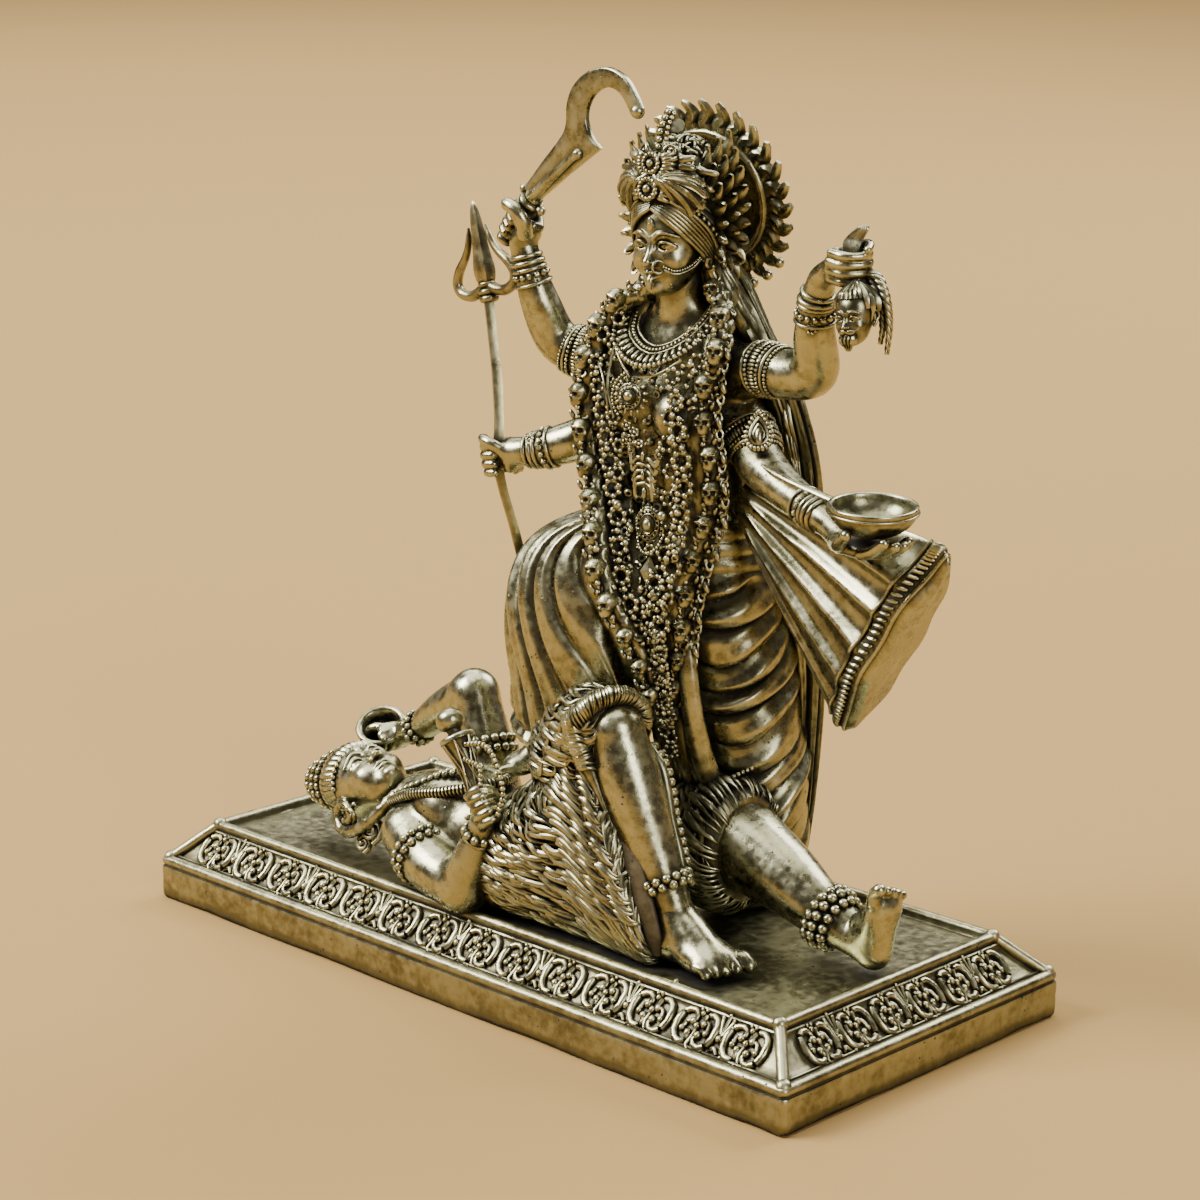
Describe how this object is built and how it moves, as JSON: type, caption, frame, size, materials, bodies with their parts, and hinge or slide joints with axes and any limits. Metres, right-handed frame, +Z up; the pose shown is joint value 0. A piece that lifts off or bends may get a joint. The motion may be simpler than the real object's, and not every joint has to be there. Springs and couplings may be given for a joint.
{
  "type": "kali figure",
  "caption": "Cast brass figure of Kali standing over the reclining Shiva on a rectangular plinth with a scrollwork band, with a flame-edged halo, hooked sword, trident, bowl and severed head.",
  "frame": {"origin": "centre of the plinth's underside", "axes": "+Z up, front of the plinth towards -Y, the reclining figure's head towards -X and his feet towards +X"},
  "size_m": [0.175, 0.0794, 0.1768],
  "materials": {
    "plinth_brass": "cast, dark patina in the recesses",
    "figure_brass": "polished on the raised parts, dark patina in the recesses",
    "rod_brass": "polished, dark patina along the edges"
  },
  "bodies": {
    "root": {"plinth": "plinth_brass", "shiva": "figure_brass", "kali": "figure_brass", "trident": "rod_brass"}
  },
  "joints": []
}
